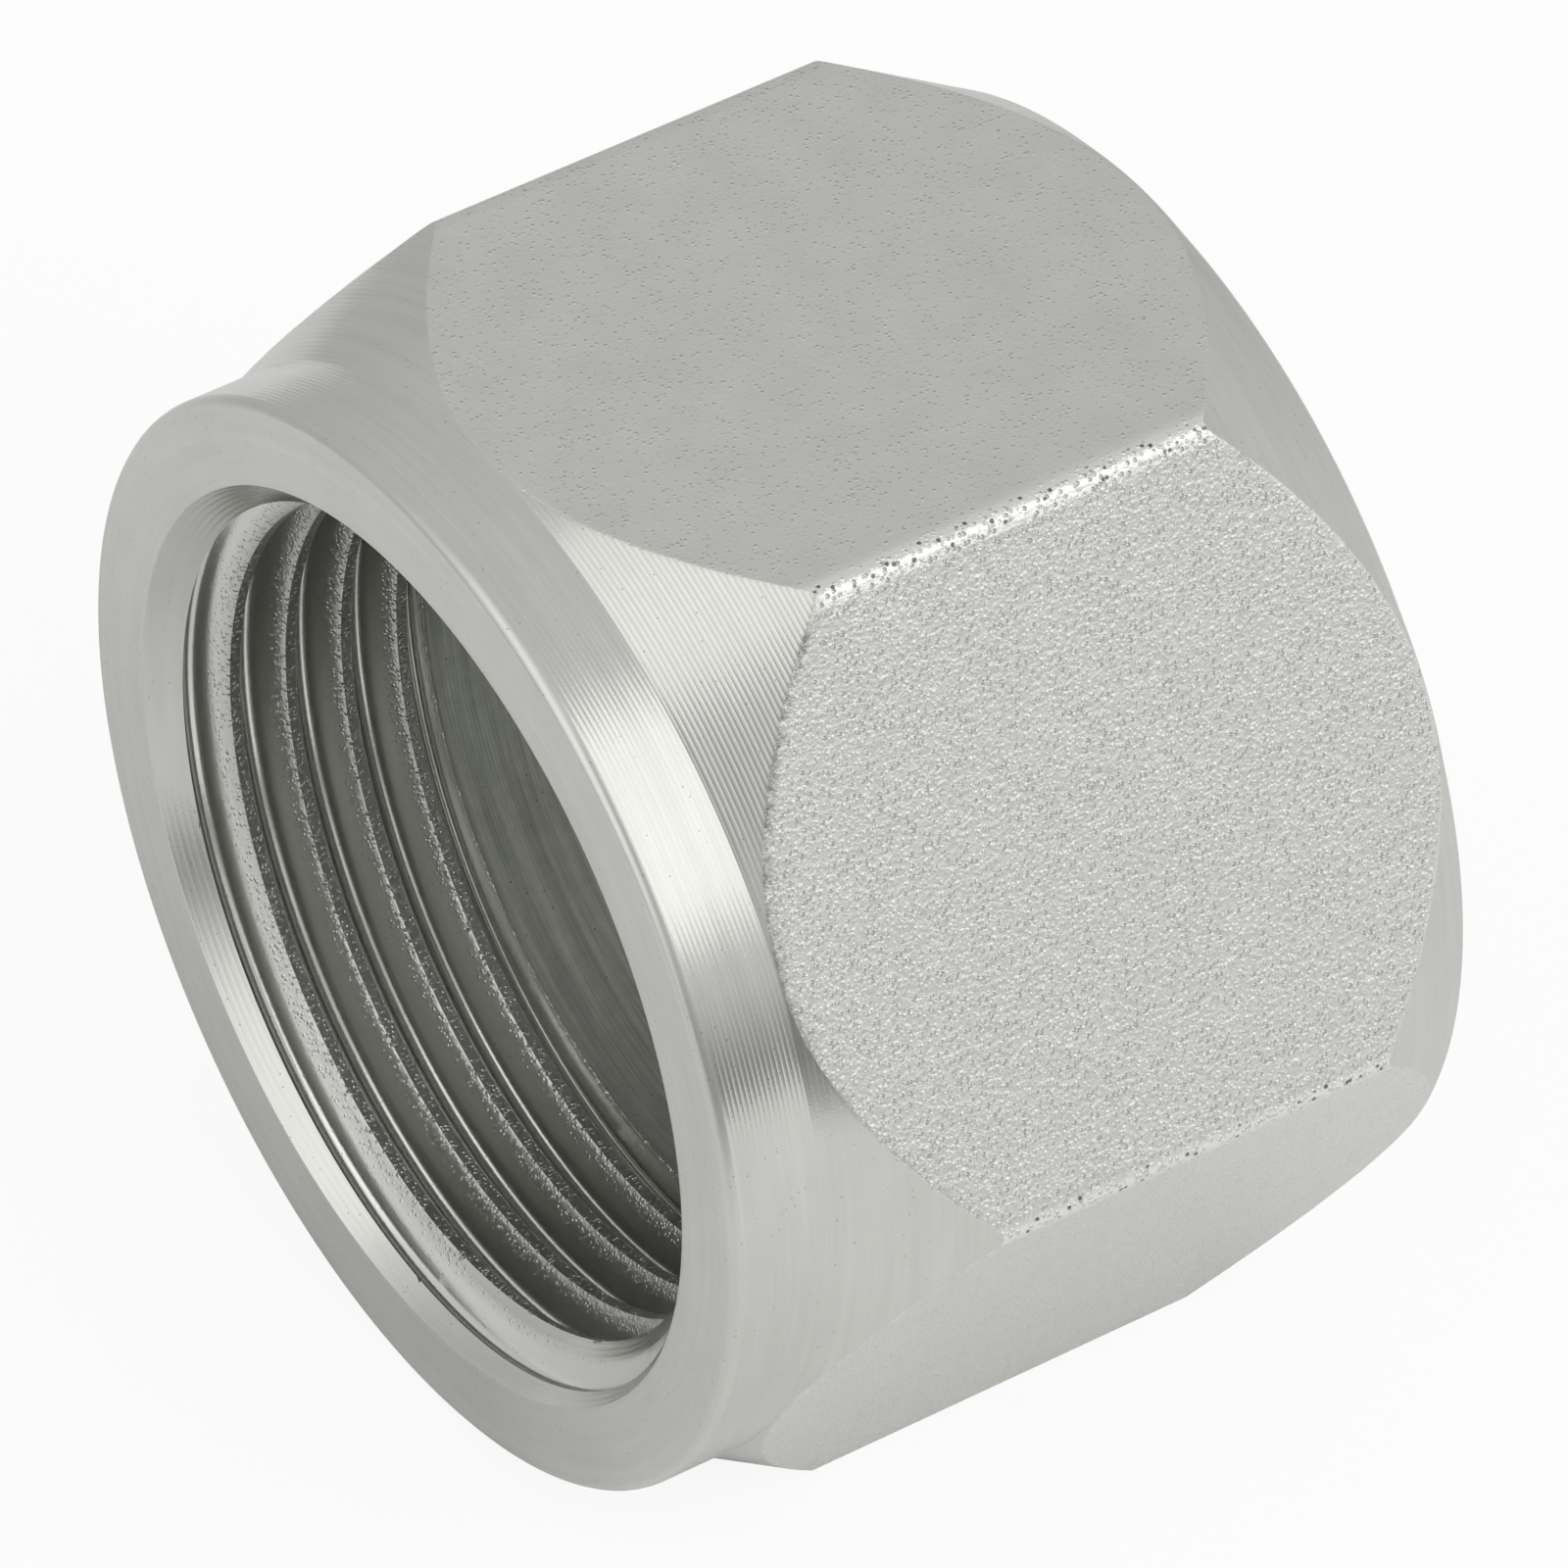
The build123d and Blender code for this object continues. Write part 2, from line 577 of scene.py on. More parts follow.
def cap_mesh(shape):
    """The whole skin of the cap, column by column round the axis."""
    form = ThreadForm(shape)
    per_turn = len(form.row_offsets())
    skin = CapMesh()
    columns = []
    chamfered = set()
    for angle in column_angles(shape):
        outside, outside_finishes = outside_outline(shape, angle)
        thread = thread_rows(shape, form, angle)
        inside, inside_finishes = inside_outline(shape, angle, thread[-1])
        columns.append(
            tuple(
                [skin.point(place(shape, angle, at.x, at.y)) for at in part]
                for part in (outside, thread, inside)
            )
        )
        for number, at in zip(columns[-1][1], thread):
            if abs(at.x - chamfer_radius(shape, at.y)) < 0.001 * MM:
                chamfered.add(number)
    rows = len(columns[0][1])
    for number, (outside, thread, inside) in enumerate(columns):
        following = columns[(number + 1) % len(columns)]
        skin.strip(outside, following[0], outside_finishes)
        skin.strip(inside, following[2], inside_finishes)
        if number + 1 < len(columns):
            skin.strip(thread, following[1], [THREAD] * rows, chamfered)
            continue
        # The last column meets the first one turn further along the thread
        steps = range(-per_turn, rows)
        last = [thread[max(step, 0)] for step in steps]
        first = [following[1][min(step + per_turn, rows - 1)] for step in steps]
        skin.strip(last, first, [THREAD] * len(steps), chamfered)
    return skin.build("cap_body")


# Finishes of the metal


def add_node(tree, kind, label, at, **settings):
    """A node with its label, place and settings."""
    made = tree.nodes.new(kind)
    made.label = label
    made.location = (at[0] * 210, -at[1] * 170)
    for name, value in settings.items():
        setattr(made, name, value)
    return made


def feed(tree, socket, value):
    """Links an output to a socket, or writes a plain value on it."""
    if isinstance(value, bpy.types.NodeSocket):
        tree.links.new(value, socket)
    else:
        socket.default_value = value


def add_math(tree, operation, label, at, *values):
    """A Math node's result."""
    made = add_node(tree, "ShaderNodeMath", label, at, operation=operation)
    for socket, value in zip(made.inputs, values):
        feed(tree, socket, value)
    return made.outputs["Value"]


def add_range(tree, label, at, value, source, target, **settings):
    """A Map Range node's result, held between the target's ends."""
    made = add_node(tree, "ShaderNodeMapRange", label, at, **settings)
    feed(tree, made.inputs["Value"], value)
    made.inputs["From Min"].default_value = source[0]
    made.inputs["From Max"].default_value = source[1]
    made.inputs["To Min"].default_value = target[0]
    made.inputs["To Max"].default_value = target[1]
    return made.outputs["Result"]


def add_mix(tree, label, at, share, first, second, blend_type="MIX"):
    """A colour mix's result."""
    made = add_node(tree, "ShaderNodeMix", label, at, data_type="RGBA", blend_type=blend_type)
    feed(tree, made.inputs[0], share)
    feed(tree, made.inputs[6], first)
    feed(tree, made.inputs[7], second)
    return made.outputs[2]


def place_on_cap(tree, at):
    """The cap's own coordinates."""
    return add_node(tree, "ShaderNodeTexCoord", "Place on the cap", at).outputs["Object"]


def add_texture(tree, kind, label, at, where, **values):
    """A texture node's outputs, its inputs set by their names."""
    made = add_node(tree, kind, label, at)
    feed(tree, made.inputs["Vector"], where)
    for name, value in values.items():
        feed(tree, made.inputs[name.title()], value)
    return made.outputs


def split_up(tree, kind, label, at, value):
    """The parts of a vector or a colour."""
    made = add_node(tree, kind, label, at)
    feed(tree, made.inputs[0], value)
    return made.outputs


def new_group(name, inputs, outputs):
    """An empty shader group with float inputs and named outputs."""
    group = bpy.data.node_groups.new(name, "ShaderNodeTree")
    for label, default in inputs:
        socket = group.interface.new_socket(name=label, in_out="INPUT", socket_type="NodeSocketFloat")
        socket.default_value = default
    for label in outputs:
        group.interface.new_socket(name=label, in_out="OUTPUT", socket_type="NodeSocketFloat")
    entry = add_node(group, "NodeGroupInput", "Inputs", (-4, 0))
    leave = add_node(group, "NodeGroupOutput", "Outputs", (6, 0))
    return group, entry.outputs, leave.inputs


def place_group(tree, group, at, **values):
    """A group node in a material, with its own values."""
    made = add_node(tree, "ShaderNodeGroup", group.name, at, node_tree=group)
    for name, value in values.items():
        feed(tree, made.inputs[name.replace("_", " ").title()], value)
    return made.outputs


def cap_axis_group(shape):
    """Depth from the mouth, distance from the axis, way to the side and way up, in millimetres."""
    group, _, leave = new_group("cap_axis", [], ["Depth", "Radius", "Side", "Lift"])
    where = split_up(group, "ShaderNodeSeparateXYZ", "Axes", (-3, 0), place_on_cap(group, (-4, 0)))
    side = where["X"]
    depth = add_math(group, "SUBTRACT", "From the mouth", (-2, 0), where["Y"], CAD_LOW.y)
    height = CAD_LOW.z + shape.across_flats / 2
    lift = add_math(group, "SUBTRACT", "Above the axis", (-2, 1), where["Z"], height)
    lift_square = add_math(group, "MULTIPLY", "Lift squared", (-1, 1), lift, lift)
    side_square = add_math(group, "MULTIPLY", "Side squared", (-1, 2), side, side)
    both = add_math(group, "ADD", "Sum", (0, 1), lift_square, side_square)
    radius = add_math(group, "SQRT", "Radius", (1, 1), both)
    found = {"Depth": depth, "Radius": radius, "Side": side, "Lift": lift}
    for row, (name, value) in enumerate(found.items()):
        feed(group, leave[name], add_math(group, "DIVIDE", f"{name} in mm", (2, row), value, MM))
    return group


def turned_rings_group():
    """Rings that a turning tool leaves, at an even feed but of uneven depth."""
    group, entry, leave = new_group("turned_rings", [("Along", 0.0), ("Feed", 0.151)], ["Height", "Streak"])
    where = place_on_cap(group, (-4, 3))
    waver = add_texture(
        group, "ShaderNodeTexNoise", "Waver of the tool", (-3, 3), where, scale=160.0, detail=1.0
    )
    shift = add_range(group, "Waver", (-2, 3), waver["Fac"], (0.0, 1.0), (-0.02, 0.02))
    along = add_math(group, "ADD", "Wavering way", (-1, 2), entry["Along"], shift)
    ring = add_math(group, "DIVIDE", "Ring number", (0, 1), along, entry["Feed"])
    inside = add_math(group, "FRACT", "Way across one ring", (1, 0), ring)
    centred = add_math(group, "SUBTRACT", "Off the middle", (2, 0), inside, 0.5)
    square = add_math(group, "MULTIPLY", "Hollow", (3, 0), centred, centred)
    hollow = add_math(group, "MULTIPLY", "Hollow depth", (4, 0), square, 2.0)
    # The noise runs on the ring's number and on the way round, so that a streak ends somewhere
    split = split_up(group, "ShaderNodeSeparateXYZ", "Axes", (-2, 4), where)
    way_round = add_node(group, "ShaderNodeCombineXYZ", "Ring and way round", (0, 3))
    feed(group, way_round.inputs["X"], ring)
    steps_per_metre = 200.0
    side = add_math(group, "MULTIPLY", "Side", (-1, 4), split["X"], steps_per_metre)
    feed(group, way_round.inputs["Y"], side)
    height = add_math(group, "MULTIPLY", "Height above the floor", (-1, 5), split["Z"], steps_per_metre)
    feed(group, way_round.inputs["Z"], height)
    spread = {"scale": 0.45, "detail": 4.0, "roughness": 0.75}
    ways = way_round.outputs["Vector"]
    uneven = add_texture(group, "ShaderNodeTexNoise", "Uneven rings", (1, 2), ways, **spread)["Fac"]
    unevenness = add_math(group, "MULTIPLY", "Unevenness", (3, 2), uneven, 0.35)
    feed(group, leave["Height"], add_math(group, "ADD", "Height", (5, 0), hollow, unevenness))
    feed(group, leave["Streak"], uneven)
    return group


def fine_grain_group():
    """Fine grain of bright metal: small pebbles of uneven height, and a few flecks."""
    group, entry, leave = new_group("fine_grain", [("Size", 0.15)], ["Height", "Fleck"])
    where = place_on_cap(group, (-4, 2))
    per_metre = add_math(group, "DIVIDE", "Grains to the metre", (-2, 1), 1 / MM, entry["Size"])
    spread = {
        "scale": add_math(group, "MULTIPLY", "Grain scale", (-1, 0), per_metre, 0.8),
        "detail": 3.0,
        "roughness": 0.6,
    }
    grain = add_texture(group, "ShaderNodeTexNoise", "Grain", (0, 0), where, **spread)["Fac"]
    pebbles = add_texture(group, "ShaderNodeTexVoronoi", "Pebbles", (0, 2), where, scale=per_metre)
    smooth = {"interpolation_type": "SMOOTHSTEP"}
    crown = add_range(group, "Crown", (2, 2), pebbles["Distance"], (0.0, 0.55), (1.0, 0.0), **smooth)
    own = split_up(group, "ShaderNodeSeparateColor", "Height of each pebble", (1, 3), pebbles["Color"])
    pebble = add_math(group, "MULTIPLY", "Pebble", (3, 2), crown, own[0])
    share = add_math(group, "MULTIPLY", "Share of grain", (2, 0), grain, 0.4)
    feed(group, leave["Height"], add_math(group, "ADD", "Height", (4, 0), share, pebble))
    feed(group, leave["Fleck"], add_range(group, "Fleck", (4, 2), grain, (0.58, 0.72), (0.0, 1.0)))
    return group


def handling_group():
    """Soft dull patches and small dark pits that handling leaves."""
    group, entry, leave = new_group("handling", [("Patch Size", 6.0), ("Pit Size", 0.5)], ["Dull", "Pit"])
    where = place_on_cap(group, (-4, 2))
    scales = [
        add_math(group, "DIVIDE", "Number to the metre", (-2, row), 1 / MM, entry[name])
        for row, name in ((0, "Patch Size"), (2, "Pit Size"))
    ]
    spread = {"scale": scales[0], "detail": 5.0, "roughness": 0.6}
    patches = add_texture(group, "ShaderNodeTexNoise", "Patches", (0, 0), where, **spread)["Fac"]
    pits = add_texture(group, "ShaderNodeTexVoronoi", "Pits", (0, 2), where, scale=scales[1])
    chance = split_up(group, "ShaderNodeSeparateColor", "Chance of each pit", (2, 3), pits["Color"])
    chosen = add_range(group, "Few pits", (3, 3), chance[0], (0.5, 0.53), (0.0, 1.0))
    near = add_range(group, "Pit edge", (3, 2), pits["Distance"], (0.05, 0.11), (0.6, 0.0))
    feed(group, leave["Dull"], add_range(group, "Dull", (4, 0), patches, (0.35, 0.7), (0.0, 1.0)))
    feed(group, leave["Pit"], add_math(group, "MULTIPLY", "Pit", (4, 2), chosen, near))
    return group


def rgba(colour):
    """A colour with full cover."""
    return (*colour, 1.0)


class MetalFinish:
    """One finish of the cap's metal, put together from the shared groups."""

    def __init__(self, name, finish, groups, metal, dull):
        self.material = bpy.data.materials.new(name)
        self.material.use_nodes = True
        self.tree = self.material.node_tree
        self.shader = self.tree.nodes["Principled BSDF"]
        self.shader.inputs["Metallic"].default_value = 1.0
        self.finish = finish
        self.groups = groups
        self.metal = metal
        self.dull = dull

    def handled_colour(
        self, patch_size, pit_size, streak=None, streak_share=0.0, painted_shade_and_chips=None, dull_where=None, painted_edge_highlight=None
    ):
        """Base colour with patches, pits and, where given, the rings' streaks, a painted highlight and dark
        spots that may hold painted shade.
        """
        sizes = {"patch_size": patch_size, "pit_size": pit_size}
        worn = place_group(self.tree, self.groups["handling"], (-6, 0), **sizes)
        dull = worn["Dull"] if dull_where is None else dull_where
        colour = add_mix(self.tree, "Patches", (-4, 0), dull, rgba(self.metal), rgba(self.dull))
        if streak is not None:
            shade = add_range(self.tree, "Streaks", (-4, 1), streak, (0.3, 0.7), (1.0 - streak_share, 1.0))
            colour = add_mix(self.tree, "Streaked", (-3, 0), 1.0, colour, shade, "MULTIPLY")
        # Painted highlight, where given.
        if painted_edge_highlight is not None:
            metal = rgba(self.finish.painted_edge_highlight_metal)
            colour = add_mix(self.tree, "Painted edge highlight", (-3, -1), painted_edge_highlight, colour, metal)
        pitted = worn["Pit"]
        # Given dark spots, which may be painted shade, take the pit colour like the pits.
        if painted_shade_and_chips is not None:
            pitted = add_math(self.tree, "MAXIMUM", "Pits and marks", (-3, 1), pitted, painted_shade_and_chips)
        colour = add_mix(self.tree, "Pitted", (-2, 0), pitted, colour, rgba(self.finish.pit_and_shade_colour))
        feed(self.tree, self.shader.inputs["Base Color"], colour)

    def roughness(self, source, span):
        """Roughness that follows a mask."""
        made = add_range(self.tree, "Roughness", (-2, 2), source, (0.0, 1.0), span)
        feed(self.tree, self.shader.inputs["Roughness"], made)

    def bump(self, layers):
        """Surface relief, one Bump node after another; each layer is a height and its depth in metres."""
        normal = None
        for number, (height, depth) in enumerate(layers):
            made = add_node(self.tree, "ShaderNodeBump", "Relief", (-3 + number, 4))
            made.inputs["Strength"].default_value = 1.0
            made.inputs["Distance"].default_value = depth
            feed(self.tree, made.inputs["Height"], height)
            if normal is not None:
                feed(self.tree, made.inputs["Normal"], normal)
            normal = made.outputs["Normal"]
        feed(self.tree, self.shader.inputs["Normal"], normal)


def blasted_flats(shape, finish, groups):
    """Flats: matte grain, coarser on the right, with a painted highlight and chips on the edges there, and
    painted shade in a broken dark line along the border with the cones.
    """
    made = MetalFinish("cap_flats", finish, groups, finish.bright_metal, finish.dull_metal)
    tree = made.tree
    axis = place_group(tree, groups["axis"], (-14, 3))
    grain = place_group(tree, groups["grain"], (-8, 3), size=finish.grain_size / MM)
    torn = place_group(tree, groups["handling"], (-12, 0), patch_size=0.35, pit_size=0.42)
    slope = math.tan(shape.cone_angle)
    start = (shape.collar_radius - shape.collar_length * slope) / MM
    cone = add_math(tree, "MULTIPLY_ADD", "Radius of the cone here", (-12, 2), axis["Depth"], slope, start)
    # Spans of depth, radius, side and lift are in millimetres
    inside = add_math(tree, "SUBTRACT", "Inside the cone", (-11, 2), cone, axis["Radius"])
    border = add_range(tree, "Near the cone", (-10, 2), inside, (0.02, 0.2), (1.0, 0.0))
    # Painted shade: a broken dark line along the border with the cones, only high on the right flats, stands
    # for the shade beside the burr there.
    right = add_range(tree, "Flats on the right", (-11, 3), axis["Side"], (9.0, 9.6), (0.0, 0.9))
    high = add_range(tree, "High on them", (-11, 4), axis["Lift"], (4.5, 8.5), (0.0, 1.0))
    there = add_math(tree, "MULTIPLY", "Where the seam is", (-10, 3), right, high)
    broken = add_math(tree, "MULTIPLY", "Broken", (-10, 1), torn["Dull"], there)
    painted_burr_shade = add_math(tree, "MULTIPLY", "Seam", (-9, 1), broken, border)
    edge = add_range(tree, "On an edge", (-10, 0), axis["Radius"], (18.27, 18.33), (0.5, 1.0))
    round_edge = add_range(tree, "On a round", (-10, -1), axis["Radius"], (18.29, 18.34), (0.0, 1.0))
    fall = add_range(tree, "Fall to the edge", (-9, 5), axis["Radius"], (18.24, 18.34), (1.0, 0.0))
    # Painted highlight: the rounds of the hexagon's edges on the right get a lighter colour; the chips go on
    # the same edges.
    lit_right_edges = add_range(tree, "Edges on the right", (-10, -1), axis["Side"], (8.5, 8.9), (0.0, 0.9))
    painted_edge_highlight = add_math(tree, "MULTIPLY", "Painted highlight", (-9, -3), edge, lit_right_edges)
    coarse = add_range(tree, "Coarser on the right", (-9, 4), axis["Side"], (8.9, 9.4), (0.34, 1.0))
    pebbly = add_math(tree, "MULTIPLY", "Grain here", (-8, 5), grain["Height"], coarse)
    where = place_on_cap(tree, (-13, -2))
    chip_size = 0.33 * MM
    cells = add_texture(tree, "ShaderNodeTexVoronoi", "Chips", (-12, -2), where, scale=1 / chip_size)
    chip = add_range(tree, "Chip", (-10, -2), cells["Distance"], (0.14, 0.24), (1.0, 0.0))
    chips_there = add_math(tree, "MULTIPLY", "Chips there", (-9, -1), lit_right_edges, chip)
    edge_chips = add_math(tree, "MULTIPLY", "Chips on an edge", (-9, 0), round_edge, chips_there)
    # Dark spots on the flats: the painted shade along the border, and the chips.
    painted_shade_and_chips = add_math(tree, "MAXIMUM", "Marks", (-8, 0), painted_burr_shade, edge_chips)
    made.handled_colour(1.8, 0.32, painted_shade_and_chips=painted_shade_and_chips, painted_edge_highlight=painted_edge_highlight)
    made.roughness(grain["Fleck"], (0.31, 0.22))
    sunk = add_math(tree, "MULTIPLY", "Sunk", (-7, 1), painted_shade_and_chips, -1.0)
    made.bump([(fall, 0.02 * MM), (pebbly, 0.09 * MM), (sunk, 0.03 * MM)])
    return made.material


def turned_metal(name, finish, groups, along, feed_share, relief, roughness):
    """Turned surface: rings along the way given, their relief in millimetres, and a trace of grain."""
    made = MetalFinish(name, finish, groups, finish.bright_metal, finish.dull_metal)
    axis = place_group(made.tree, groups["axis"], (-10, 3))
    rings = place_group(
        made.tree, groups["rings"], (-8, 2), along=axis[along], feed=feed_share * finish.ring_feed / MM
    )
    grain = place_group(made.tree, groups["grain"], (-8, 4), size=0.6 * finish.grain_size / MM)
    made.handled_colour(4.0, 0.3, rings["Streak"], 0.1)
    made.roughness(rings["Streak"], roughness)
    made.bump([(rings["Height"], relief * MM), (grain["Height"], 0.0012 * MM)])
    return made.material


def cut_thread(finish, groups):
    """Thread: clean flanks in a colour lightened as painted light, with darker crests, partly torn metal and
    partly painted shade.
    """
    made = MetalFinish("cap_thread", finish, groups, finish.thread_metal_with_painted_light, finish.torn_crest_metal_and_shade)
    grain = place_group(made.tree, groups["grain"], (-8, 3), size=0.8 * finish.grain_size / MM)
    axis = place_group(made.tree, groups["axis"], (-10, 3))
    crest = add_range(made.tree, "Near the crests", (-6, 4), axis["Radius"], (12.14, 12.65), (1.0, 0.05))
    torn = add_math(made.tree, "MULTIPLY", "Torn crests", (-5, 4), grain["Height"], crest)
    # The crests' colour is darker: partly torn metal, partly painted shade that dims the highlight along
    # their edges.
    made.handled_colour(2.0, 0.3, dull_where=crest)
    made.roughness(crest, (0.22, 0.3))
    made.bump([(torn, 0.05 * MM)])
    return made.material


def bored_hole(finish, groups):
    """Plain bore: mottled, with rings round it, its colours lightened as painted light."""
    made = MetalFinish("cap_bore", finish, groups, finish.bore_metal_with_painted_light, finish.bore_stain_with_painted_light)
    axis = place_group(made.tree, groups["axis"], (-10, 3))
    feed_here = 0.8 * finish.ring_feed / MM
    rings = place_group(made.tree, groups["rings"], (-8, 2), along=axis["Depth"], feed=feed_here)
    made.handled_colour(0.5, 0.4, rings["Streak"], 0.45)
    made.roughness(rings["Streak"], (0.3, 0.4))
    made.bump([(rings["Height"], 0.0025 * MM)])
    return made.material


def cap_materials(shape, finish):
    """The cap's finishes in the order of its material slots."""
    groups = {
        "axis": cap_axis_group(shape),
        "rings": turned_rings_group(),
        "grain": fine_grain_group(),
        "handling": handling_group(),
    }
    # On a cone the rings' distance is shorter along the axis than along the surface
    on_cone = math.cos(shape.cone_angle)
    return [
        turned_metal("cap_back", finish, groups, "Radius", 1.0, 0.005, (0.26, 0.34)),
        turned_metal("cap_rear_cone", finish, groups, "Depth", on_cone, 0.003, (0.26, 0.36)),
        blasted_flats(shape, finish, groups),
        turned_metal("cap_front_cone", finish, groups, "Depth", on_cone, 0.0105, (0.15, 0.22)),
        turned_metal("cap_collar", finish, groups, "Depth", 1.0, 0.011, (0.15, 0.22)),
        turned_metal("cap_face", finish, groups, "Radius", 1.0, 0.003, (0.28, 0.36)),
        turned_metal("cap_chamfer", finish, groups, "Depth", 1.0, 0.006, (0.2, 0.3)),
        cut_thread(finish, groups),
        bored_hole(finish, groups),
    ]


# Stage


def put_in_scene(name, data):
    """A new object in the scene."""
    made = bpy.data.objects.new(name, data)
    bpy.context.scene.collection.objects.link(made)
    return made


def floor_material(stage):
    """Pale floor that the camera sees nearly white, with the cap's shadow kept."""
    made = bpy.data.materials.new("pale_floor")
    made.use_nodes = True
    tree = made.node_tree
    shader = tree.nodes["Principled BSDF"]
    shader.inputs["Base Color"].default_value = rgba(stage.floor_colour)
    shader.inputs["Roughness"].default_value = 0.9
    shader.inputs["Specular IOR Level"].default_value = 0.1
    white = add_node(tree, "ShaderNodeEmission", "Paper white", (0, 2))
    white.inputs["Strength"].default_value = 1.0
    path = add_node(tree, "ShaderNodeLightPath", "What sees the floor", (-2, 2))
    share = add_math(tree, "MULTIPLY", "Seen directly", (0, 3), path.outputs["Is Camera Ray"], 0.9)
    mix = add_node(tree, "ShaderNodeMixShader", "Floor", (2, 1))
    feed(tree, mix.inputs[0], share)
    feed(tree, mix.inputs[1], shader.outputs["BSDF"])
    feed(tree, mix.inputs[2], white.outputs["Emission"])
    feed(tree, tree.nodes["Material Output"].inputs["Surface"], mix.outputs[0])
    return made


def direction(azimuth, elevation):
    """Unit vector from the cap; azimuth 0 is in front of the mouth and 90 on the +X side."""
    level = math.cos(elevation)
    return Vector((math.sin(azimuth) * level, -math.cos(azimuth) * level, math.sin(elevation)))


def near_direction(tree, label, at, angles, closeness, target):
    """A value that runs over the target as the view nears a direction; closeness is the angle's cosine."""
    where = add_node(tree, "ShaderNodeTexCoord", "Direction", (at[0] - 1, at[1]))
    toward = add_node(tree, "ShaderNodeVectorMath", label, at, operation="DOT_PRODUCT")
    tree.links.new(where.outputs["Generated"], toward.inputs[0])
    toward.inputs[1].default_value = direction(*map(math.radians, angles))
    return add_range(tree, label, (at[0] + 1, at[1]), toward.outputs["Value"], closeness, target)


def light_the_room(stage):
    """An even room, with a glow behind and one before the mouth, a dark side low down and a dark card."""
    world = bpy.data.worlds.new("studio_room")
    bpy.context.scene.world = world
    world.use_nodes = True
    tree = world.node_tree
    where = add_node(tree, "ShaderNodeTexCoord", "Direction", (-4, 0)).outputs["Generated"]
    rise = split_up(tree, "ShaderNodeSeparateXYZ", "Height", (-3, 0), where)["Z"]
    span = (stage.horizon_light, stage.ceiling_light)
    even = add_range(tree, "Brightness", (-2, 0), rise, (0.0, 0.8), span)
    back = near_direction(tree, "Back", (-3, 2), (150, 10), (0.5, 1.0), (0.0, stage.back_glow))
    front = near_direction(tree, "Front", (-3, 7), (0, 22), (0.74, 0.92), (0.0, stage.front_glow))
    glow = add_math(tree, "ADD", "Both glows", (-1, 2), back, front)
    right = near_direction(tree, "Right", (-3, 4), (75, 0), (0.62, 0.74), (0.0, stage.dark_side))
    low = add_range(tree, "Low", (-2, 5), rise, (0.0, 0.22), (1.0, 0.0))
    over_floor = add_range(tree, "Above the floor", (-2, 6), rise, (-0.25, -0.08), (0.0, 1.0))
    band = add_math(tree, "MULTIPLY", "Along the horizon", (-1, 5), low, over_floor)
    dark = add_math(tree, "MULTIPLY", "Dark", (-1, 4), right, band)
    card = near_direction(tree, "Card", (-3, 8), (66, 48), (0.93, 0.975), (0.0, stage.dark_card))
    darkest = add_math(tree, "MAXIMUM", "Darkest", (-1, 5), dark, card)
    left_over = add_math(tree, "SUBTRACT", "Light left over", (0, 4), 1.0, darkest)
    glowing = add_math(tree, "ADD", "Glowing", (-1, 1), even, glow)
    dimmed = add_math(tree, "MULTIPLY", "Dimmed", (0, 1), glowing, left_over)
    path = add_node(tree, "ShaderNodeLightPath", "What sees the room", (-1, 3))
    seen = add_math(tree, "MAXIMUM", "White to the camera", (0, 2), dimmed, path.outputs["Is Camera Ray"])
    tree.nodes["Background"].inputs["Color"].default_value = (1.0, 1.0, 1.0, 1.0)
    tree.links.new(seen, tree.nodes["Background"].inputs["Strength"])


def soft_lamp(name, azimuth, elevation, distance, width, height, brightness):
    """A rectangular soft lamp that faces the cap, its face as bright as white at 1."""
    data = bpy.data.lights.new(name, "AREA")
    data.shape = "RECTANGLE"
    data.size = width
    data.size_y = height
    data.energy = math.pi * width * height * brightness
    made = put_in_scene(name, data)
    away = direction(math.radians(azimuth), math.radians(elevation))
    made.location = away * distance
    made.rotation_euler = away.to_track_quat("Z", "Y").to_euler()
    return made


def place_camera(stage):
    """The camera, at the angle from which the cap was seen."""
    data = bpy.data.cameras.new("cap_camera")
    data.lens_unit = "FOV"
    data.angle = stage.camera_view
    made = put_in_scene("cap_camera", data)
    aim = Vector(stage.camera_aim).normalized()
    right = aim.cross(Vector(stage.camera_up)).normalized()
    turn = Matrix((right, right.cross(aim), -aim)).transposed().to_4x4()
    made.matrix_world = Matrix.Translation(stage.camera_place) @ turn
    bpy.context.scene.camera = made


# Operators and panel


class MESH_OT_protection_cap(bpy.types.Operator):
    """Builds the cap in place of its plain solid"""

    bl_idname = "mesh.protection_cap"
    bl_label = "Protection Cap"

    def execute(self, context):
        shape = context.scene.cap_shape
        finish = context.scene.cap_finish
        mesh = cap_mesh(shape)
        for material in cap_materials(shape, finish):
            mesh.materials.append(material)
        cap = put_in_scene("cap_body", mesh)
        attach(cap, "root")
        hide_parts("protection_cap")
        if len(mesh.polygons) < shape.columns:
            raise RuntimeError("the cap's mesh came out empty")
        return {"FINISHED"}


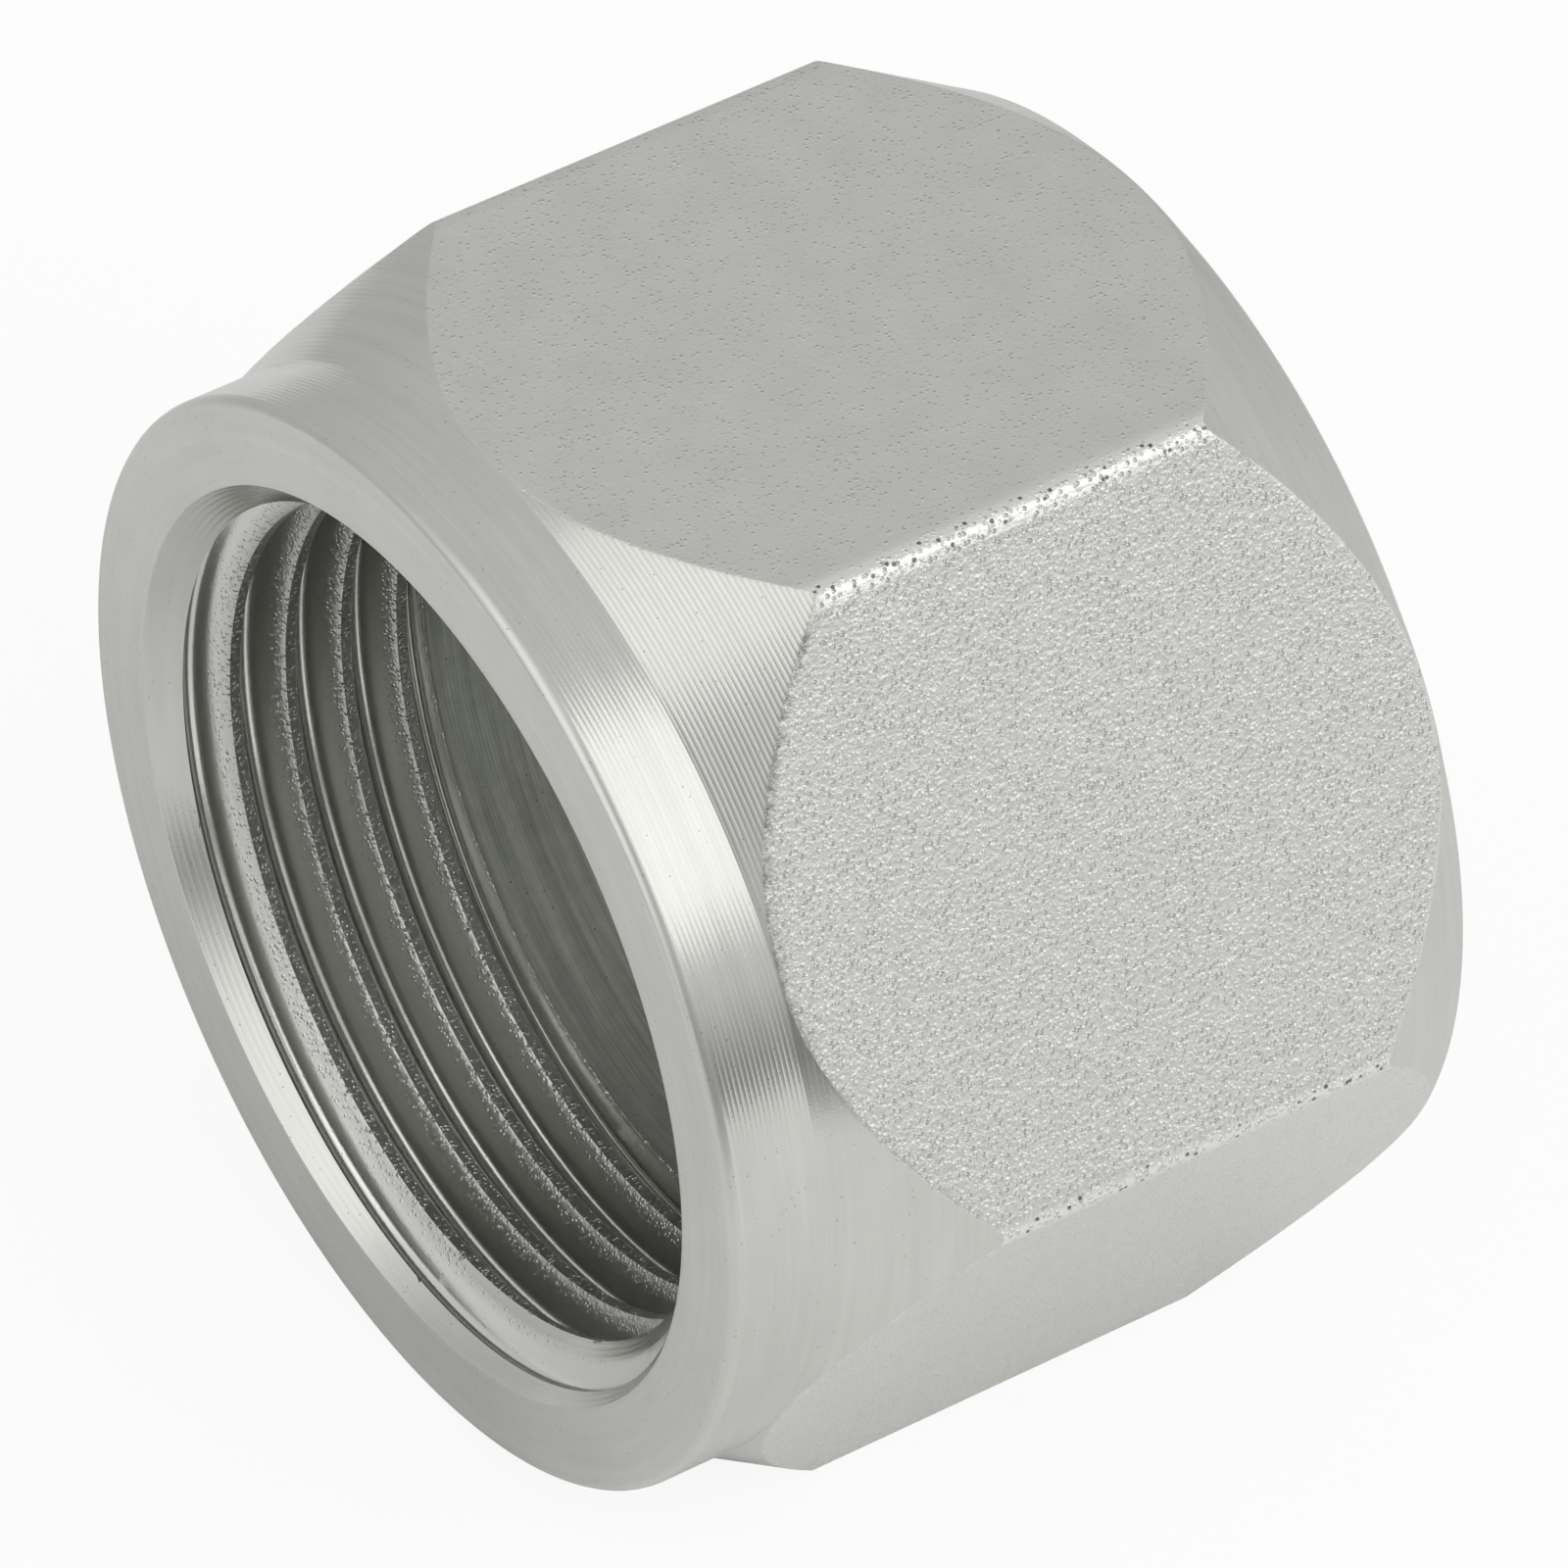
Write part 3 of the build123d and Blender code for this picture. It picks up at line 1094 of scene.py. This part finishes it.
class SCENE_OT_cap_stage(bpy.types.Operator):
    """Lays the floor and sets up the light and the camera"""

    bl_idname = "scene.cap_stage"
    bl_label = "Cap Stage"

    def execute(self, context):
        scene = context.scene
        stage = scene.cap_stage
        floor_mesh = bpy.data.meshes.new("floor")
        middle = Vector(stage.floor_middle)
        turns = [math.radians(360 / FLOOR_SIDES * step) for step in range(FLOOR_SIDES)]
        edge = [middle + direction(turn, 0) * stage.floor_reach for turn in turns]
        floor_mesh.from_pydata(edge, [], [tuple(range(FLOOR_SIDES))])
        floor_mesh.materials.append(floor_material(stage))
        put_in_scene("floor", floor_mesh)
        light_the_room(stage)
        for name, lamp in LAMPS.items():
            made = soft_lamp(f"{name}_lamp", *lamp, getattr(stage, f"{name}_light"))
            # The side lamp is there for the floor, and the metal does not mirror it
            made.visible_glossy = name != "side"
        place_camera(stage)
        scene.view_settings.view_transform = "Standard"
        return {"FINISHED"}


class VIEW3D_PT_cap(bpy.types.Panel):
    """Settings and steps of the cap"""

    bl_label = "Protection Cap"
    bl_idname = "VIEW3D_PT_cap"
    bl_space_type = "VIEW_3D"
    bl_region_type = "UI"
    bl_category = "Cap"

    def draw(self, context):
        layout = self.layout
        for group in (context.scene.cap_shape, context.scene.cap_finish, context.scene.cap_stage):
            box = layout.box()
            for name in group.__annotations__:
                box.prop(group, name)
        layout.operator(MESH_OT_protection_cap.bl_idname)
        layout.operator(SCENE_OT_cap_stage.bl_idname)


CLASSES = (CapShape, CapFinish, CapStage, MESH_OT_protection_cap, SCENE_OT_cap_stage, VIEW3D_PT_cap)


def register():
    """Makes the settings, operators and panel known."""
    for each in CLASSES:
        bpy.utils.register_class(each)
    bpy.types.Scene.cap_shape = PointerProperty(type=CapShape)
    bpy.types.Scene.cap_finish = PointerProperty(type=CapFinish)
    bpy.types.Scene.cap_stage = PointerProperty(type=CapStage)


def unregister():
    """Takes them away again."""
    for name in ("cap_stage", "cap_finish", "cap_shape"):
        delattr(bpy.types.Scene, name)
    for each in reversed(CLASSES):
        bpy.utils.unregister_class(each)


def main():
    """Builds everything."""
    register()
    bpy.ops.mesh.protection_cap()
    bpy.ops.scene.cap_stage()


if __name__ == "__main__":
    main()
